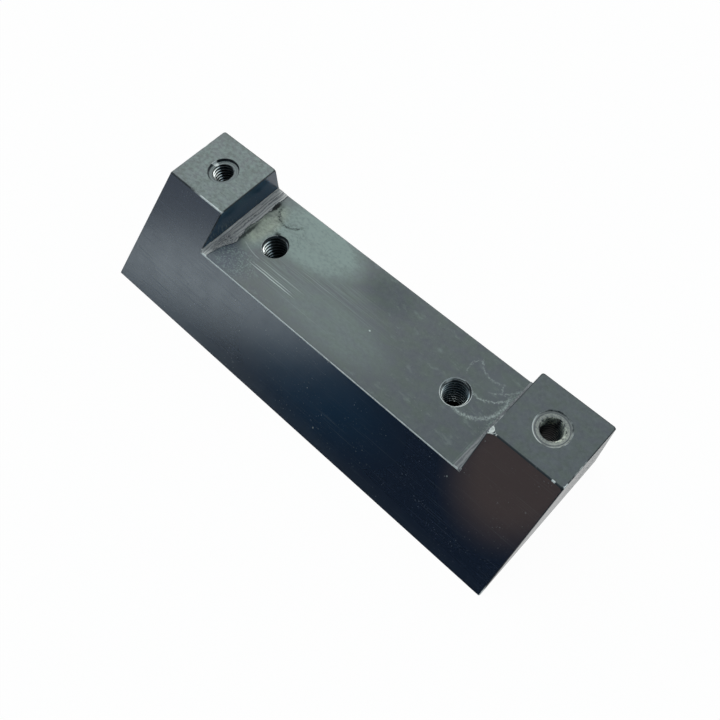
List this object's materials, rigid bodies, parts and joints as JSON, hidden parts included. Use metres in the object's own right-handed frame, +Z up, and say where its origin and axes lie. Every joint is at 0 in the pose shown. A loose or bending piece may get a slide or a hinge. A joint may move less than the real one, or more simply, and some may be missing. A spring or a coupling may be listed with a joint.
{
  "type": "machined mounting block",
  "caption": "Bar-shaped block with a slanted front face, a milled pocket between raised end lands, and tapped holes in the pocket floor and in the lands.",
  "frame": {"origin": "middle of the base, on the face the block rests on", "axes": "+X along the bar, +Y towards the upright back face, +Z up out of the pocket"},
  "size_m": [0.1, 0.034, 0.016],
  "materials": {
    "anodised_body": "black anodised, satin milled faces, bright where edges are worn or chipped"
  },
  "bodies": {
    "root": {"mounting_block": "anodised_body"}
  },
  "joints": []
}
